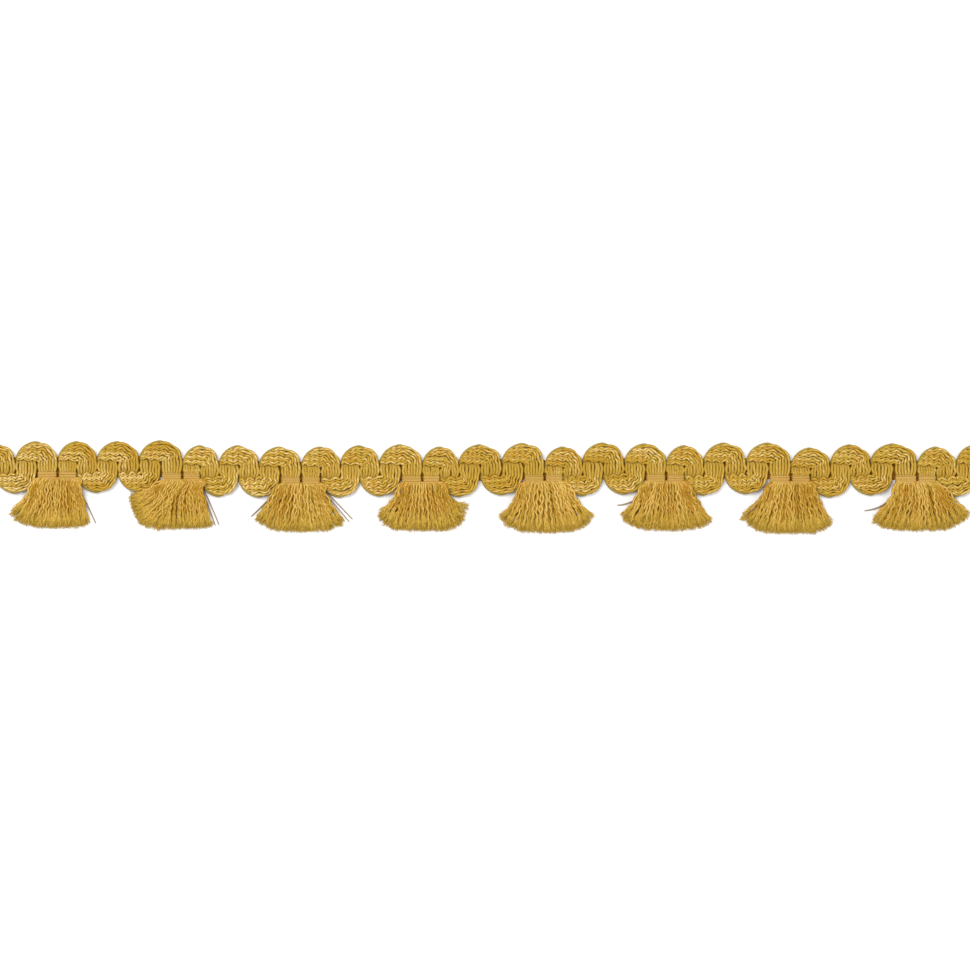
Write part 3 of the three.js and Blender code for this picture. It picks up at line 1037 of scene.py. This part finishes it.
@dataclass
class BrushTassel:
    """One brush tassel: the cut yarns of both columns, in layers, with frayed ends."""

    number: int
    repeat: Repeat
    fan: Fan
    top: float
    material: Any
    layers: int = 5
    yarn: float = 0.295
    yarn_spread: Pair = (0.85, 1.12)
    flatness: float = 0.95
    column_half: float = 4.05
    parting_half: float = 0.1
    low_body: float = 5.3
    high_body: float = 7.2
    lobe_foot: float = -6.4
    over_lobe: float = 2.05
    plies: int = 12
    # How much darker the lower layers' strands are painted and how much lighter the top ones, as painted
    # shade and light.
    shade: float = 0.9
    wander: float = 0.2
    underlay: float = 0.35
    taper: float = 0.78
    taper_over: Pair = (0.62, 0.38)
    pale_over: Pair = (0.68, 0.32)
    pale_power: float = 1.6
    pale_most: float = 0.8
    root_rise: float = 0.7
    least_fall: float = 2.2
    foot_share: float = 0.55
    bed: Pair = (0.4, 0.95)
    over_bed: float = 0.15
    tip_uneven: Pair = (0.12, 0.25)
    crowding: float = 0.12
    wave_length: Pair = (1.7, 3.0)
    wave_size: Pair = (0.09, 0.2)
    tint_spread: Pair = (0.5, 0.24)
    ply_start: tuple[int, int] = (5, 11)
    ply_half: Pair = (0.11, 0.045)
    ply_open: Pair = (0.35, 0.26)
    ply_reach: float = 0.45
    ply_height: Pair = (-0.1, 0.2)
    ply_tint: float = 0.4
    ply_pale: Pair = (0.25, 0.85)
    step: float = 0.42
    seed: int = 301

    def build(self) -> Any:
        """Build the tassel's strands.

        Returns:
            The Blender object.
        """
        chance = np.random.default_rng(self.seed + self.number)
        mesh = YarnMesh(f"tassel_brush_{self.number}")
        fray = YarnMesh(f"tassel_fray_{self.number}", sides=3)
        for side in Side:
            for index in range(self.fan.strands):
                self._add_strand(mesh, fray, side, index, chance)
        for reach, drop in self.fan.wisps:
            self._add_wisp(mesh, fray, reach, drop, chance)
        fray.build(self.material, Slot.TASSEL, [f"tassel_{self.number}"])
        return mesh.build(self.material, Slot.TASSEL, [f"tassel_{self.number}"])

    def _knots(self, side: Side, share: float, lift: float, chance: Any) -> np.ndarray:
        """Work out the places that a strand passes through.

        Args:
            side: Which column it comes out of.
            share: How far out from the parting it is, 0 to 1 or a little past the parting.
            lift: How high in the tassel it is, 0 to 1.
            chance: The seeded source of how it lies.

        Returns:
            Five places from the root to the tip.
        """
        fan, middle, way = self.fan, self.repeat.parting, side.value
        reach, edge, swell = (
            (fan.left, fan.left_tip, fan.left_body)
            if side is Side.LEFT
            else (fan.right, fan.right_tip, fan.right_body)
        )
        body = self.low_body + (self.high_body - self.low_body) * lift
        swept = fan.sweep * (1 - share)
        tip_y = fan.foot + (edge - fan.foot) * max(share, 0.0) ** fan.corner + 0.2 * lift
        tip_y += chance.normal(0, self.tip_uneven[0])
        out = share**fan.square if share > 0 else share
        tip_x = middle + way * reach * out * (1 - 0.1 * lift) + swept
        tip_x += chance.normal(0, self.tip_uneven[1])
        outs = (
            self.parting_half + (self.column_half - self.parting_half) * share,
            self.parting_half + 4.4 * share + 0.8 * (share * lift),
            self.parting_half + body * 0.84 * share * swell,
            body * share * swell,
        )
        x = [middle + way * reach_out for reach_out in outs]
        base = self.bed[0] + self.bed[1] * lift
        over = base + self.over_bed
        hump = np.clip(share * 2 - 0.9, 0, 1) * (self.over_lobe - base) * (lift > 0.4)
        foot = min(self.lobe_foot, self.top - self.least_fall)
        foot = max(foot, self.top + self.foot_share * (tip_y - self.top))
        return np.array(
            [
                [x[0], self.top + self.root_rise, base * 0.9 + 0.1],
                [x[1], self.top - 0.1, over + hump * 0.4],
                [x[2] + swept * 0.25, self.top - 1.3, over + hump],
                [x[3] + swept * 0.55, foot, base + hump * 0.8],
                [tip_x, tip_y, 0.3 + 0.5 * lift + chance.uniform(0, 0.15)],
            ]
        )

    def _tapered(self, along: np.ndarray) -> np.ndarray:
        """How much of its width a strand keeps along its length."""
        start, length = self.taper_over
        return 1 - self.taper * np.clip((along - start) / length, 0, 1)

    def _add_strand(self, mesh: YarnMesh, fray: YarnMesh, side: Side, index: int, chance: Any) -> None:
        """Lay one strand and its frayed end.

        Args:
            mesh: The piece that it joins.
            fray: The piece that its plies join.
            side: Which column it comes out of.
            index: Which strand of the column it is.
            chance: The seeded source of how it lies.
        """
        layer = index % self.layers
        rows = self.fan.strands / self.layers
        place = (index // self.layers + 0.3 + 0.22 * layer + chance.uniform(-0.2, 0.2)) / rows
        share = float(np.clip(place * (1 + self.crowding) - self.crowding, -self.crowding, 1.0))
        lift = layer / (self.layers - 1)
        path = smooth_through(self._knots(side, share, lift, chance), self.step)
        length = float(np.linalg.norm(np.diff(path, axis=0), axis=1).sum())
        along = np.linspace(0, 1, len(path))
        heading = path[-1] - path[0]
        normal = np.array([-heading[1], heading[0], 0.0]) / np.hypot(heading[0], heading[1])
        wave = TURN * length / chance.uniform(*self.wave_length)
        swing = chance.uniform(*self.wave_size) * np.sin(wave * along + chance.uniform(0, PHASE))
        swing += chance.normal(0, self.wander) * np.sin(4.2 * along + chance.uniform(0, PHASE))
        swing *= np.clip(along * 4, 0, 1)
        path = path + normal * swing[:, None]
        path[:, 2] += 0.06 * np.sin(wave * along * 0.8 + chance.uniform(0, PHASE))
        thick = self.yarn * chance.uniform(*self.yarn_spread) * (1 + self.underlay * (1 - lift))
        wide = thick * self._tapered(along)
        path[:, 2] = np.maximum(path[:, 2], wide + 0.01)
        start, over = self.pale_over
        tip = np.clip((along - start) / over, 0, 1) ** self.pale_power * self.pale_most
        # Painted shade and light: strands of the lower layers get a darker tint, those on top a lighter
        # one.
        tint = float(np.clip(chance.normal(*self.tint_spread) + self.shade * (lift - 0.6), -0.5, 1))
        mesh.add(path, wide, wide * self.flatness, tint, tip, chance.uniform(0, TWIST))
        self._fray(fray, path, wide, tint, chance)

    def _add_wisp(self, mesh: YarnMesh, fray: YarnMesh, reach: float, drop: float, chance: Any) -> None:
        """Lay one strand that stands apart at the right.

        Args:
            mesh: The piece that it joins.
            fray: The piece that its plies join.
            reach: How far its tip is from the parting.
            drop: The height of its tip.
            chance: The seeded source of its twist and frayed end.
        """
        middle = self.repeat.parting
        knots = np.array(
            [
                [middle + self.column_half, self.top + self.root_rise, 0.9],
                [middle + reach * 0.54, self.top - self.least_fall, 1.5],
                [middle + reach * 0.75, drop * self.foot_share - 2.85, 0.9],
                [middle + reach, drop, 0.35],
            ]
        )
        path = smooth_through(knots, self.step)
        along = np.linspace(0, 1, len(path))
        wide, tint = self.yarn * self._tapered(along), 0.6
        tip = self.pale_most * along**4
        mesh.add(path, wide, wide * self.flatness, tint, tip, chance.uniform(0, TWIST))
        self._fray(fray, path, wide, tint, chance)

    def _fray(self, mesh: YarnMesh, path: np.ndarray, wide: np.ndarray, tint: float, chance: Any) -> None:
        """Open a strand's cut end into fine plies.

        Args:
            mesh: The piece that they join.
            path: The strand's centreline.
            wide: Its half widths.
            tint: Its shade.
            chance: The seeded source of how they open.
        """
        ahead = path[-1] - path[-3]
        across = np.array([-ahead[1], ahead[0], 0.0])
        across /= np.linalg.norm(across) + 1e-9
        ahead = ahead / np.linalg.norm(ahead)
        count = len(path)
        for _ in range(self.plies):
            first = count - int(chance.integers(*self.ply_start))
            place = chance.uniform(-1, 1)
            line = path[first::2].copy()
            t = np.linspace(0, 1, len(line))[:, None]
            reach = chance.uniform(-self.ply_reach, self.ply_reach)
            opened = place * self.ply_open[0] + chance.normal(0, self.ply_open[1])
            line += across * (place * wide[first] * 0.8 + t**1.5 * opened)
            line += ahead * reach * t**2
            rise = chance.uniform(*self.ply_height)
            line[:, 2] += wide[first] * 0.55 * (1 - t[:, 0]) + rise * t[:, 0]
            line[:, 2] = np.maximum(line[:, 2], 0.1)
            fine = np.linspace(*self.ply_half, len(line))
            shade = tint + chance.normal(0, self.ply_tint)
            mesh.add(line, fine, None, shade, np.linspace(*self.ply_pale, len(line)))


@dataclass(frozen=True)
class Lamp:
    """A round soft light that faces the middle of the trim, in metres and watts."""

    name: str
    place: Colour
    size: float
    power: float


@dataclass(frozen=True)
class Studio:
    """The pale floor, the soft lights and the camera straight above."""

    frame_width_mm: float = 215.56
    centre_mm: Pair = (0.0, -3.0)
    distance: float = 0.8
    above_trim: float = 0.001
    nearest: float = 0.01
    sensor: float = 36.0
    floor_size: float = 6.0
    floor_tone: float = 0.98
    floor_roughness: float = 0.95
    air_strength: float = 0.75
    lamps: tuple[Lamp, ...] = (
        Lamp("overhead", (-0.35, 0.45, 1.1), 0.7, 10.0),
        Lamp("side", (0.9, -0.3, 0.8), 0.9, 3.0),
    )

    def build(self) -> None:
        """Set up the floor, the lights, the world and the camera."""
        self._floor()
        self._lights()
        self._camera()

    def _floor(self) -> None:
        """Lay the plain pale floor."""
        shape = bmesh.new()
        bmesh.ops.create_grid(shape, x_segments=1, y_segments=1, size=self.floor_size / 2)
        mesh = bpy.data.meshes.new("floor")
        shape.to_mesh(mesh)
        shape.free()
        sheet = NodeSheet("floor_paper")
        colour = (self.floor_tone,) * 3 + (1.0,)
        inputs = {"Base Color": colour, "Roughness": self.floor_roughness, "Specular IOR Level": 0.0}
        mesh.materials.append(sheet.finished(sheet.node("ShaderNodeBsdfPrincipled", {}, inputs)))
        floor = bpy.data.objects.new("floor", mesh)
        bpy.context.scene.collection.objects.link(floor)

    def _lights(self) -> None:
        """Hang the soft lights and set the pale surroundings."""
        world = bpy.data.worlds.new("studio_air")
        world.use_nodes = True
        background = world.node_tree.nodes["Background"]
        background.inputs["Color"].default_value = (1.0, 1.0, 1.0, 1.0)
        background.inputs["Strength"].default_value = self.air_strength
        bpy.context.scene.world = world
        for lamp in self.lamps:
            data = bpy.data.lights.new(lamp.name, "AREA")
            data.shape = "DISK"
            data.size = lamp.size
            data.energy = lamp.power
            hung = bpy.data.objects.new(lamp.name, data)
            x, y, z = hung.location = lamp.place
            hung.rotation_euler = (math.atan2(math.hypot(x, y), z), 0.0, math.atan2(x, -y))
            bpy.context.scene.collection.objects.link(hung)

    def _camera(self) -> None:
        """Place the camera square above the trim."""
        data = bpy.data.cameras.new("camera")
        data.sensor_width = self.sensor
        data.lens = self.sensor * self.distance / (self.frame_width_mm * MM)
        data.clip_start = self.nearest
        camera = bpy.data.objects.new("camera", data)
        camera.location = (
            (self.centre_mm[0] + PLAN_TO_FRAME[0]) * MM,
            (self.centre_mm[1] + PLAN_TO_FRAME[1]) * MM,
            self.distance + self.above_trim,
        )
        bpy.context.scene.collection.objects.link(camera)
        bpy.context.scene.camera = camera


def tassel_tops(layout: HeadingLayout) -> Iterator[float]:
    """Give the height of each tassel's roots, from left to right.

    Args:
        layout: The heading's sizes.

    Yields:
        The height of the lower end of the tassel's columns.
    """
    lobes = layout.lobes()
    for before, after in zip(lobes, lobes[1:]):
        if before.before_parting:
            yield layout.column_end(before, after)


def main() -> None:
    """Build the trim and its stage."""
    logging.basicConfig(level=logging.INFO, format="%(name)s: %(message)s")
    bpy.context.scene.view_settings.view_transform = "Standard"
    Studio().build()
    layout = HeadingLayout()
    # Each finish lists light, warm, deep, pale and cut colours; deep takes the painted shade and pale the
    # painted highlight.
    gimp = CottonFinish(
        "gimp_cotton_yarn",
        (0.61, 0.41, 0.052),
        (0.65, 0.385, 0.055),
        (0.26, 0.125, 0.002),
        (0.91, 0.81, 0.50),
        (0.45, 0.28, 0.04),
    )
    # The edging's darker olive colours are painted shade along the loops' rims.
    edging = CottonFinish(
        "edging_shade_cotton_yarn",
        (0.42, 0.33, 0.08),
        (0.42, 0.30, 0.07),
        (0.2, 0.125, 0.01),
        (0.55, 0.45, 0.16),
        (0.42, 0.32, 0.08),
    )
    brush = CottonFinish(
        "tassel_cotton_yarn",
        (0.49, 0.292, 0.034),
        (0.53, 0.272, 0.033),
        (0.205, 0.09, 0.0015),
        (0.80, 0.57, 0.18),
        (0.79, 0.52, 0.075),
    )
    binding = CottonFinish(
        "binding_cotton",
        (0.66, 0.42, 0.10),
        (0.68, 0.41, 0.11),
        (0.28, 0.14, 0.012),
        (0.74, 0.52, 0.2),
        (0.6, 0.42, 0.12),
    )
    # A dark red-brown finish for the threads under the legs, painted as the shade in the slits.
    inner = CottonFinish(
        "slit_shade_cotton",
        (0.42, 0.19, 0.02),
        (0.44, 0.18, 0.02),
        (0.24, 0.10, 0.004),
        (0.5, 0.25, 0.04),
        (0.42, 0.19, 0.02),
    )
    loose = CottonFinish(
        "loose_cotton_thread",
        (0.40, 0.32, 0.2),
        (0.40, 0.30, 0.2),
        (0.24, 0.18, 0.11),
        (0.46, 0.38, 0.28),
        (0.4, 0.31, 0.2),
    )
    ScrollPlait(layout, gimp.material(), edging.material()).build()
    BindingThreads(layout, binding.material(), inner.material()).build()
    finish = brush.material()
    tops = list(tassel_tops(layout))
    LooseThreads(loose.material()).build(tops)
    for number, (row, fan, top) in enumerate(zip(REPEATS, FANS, tops), 1):
        BrushTassel(number, row, fan, top, finish).build()


if __name__ == "__main__":
    main()
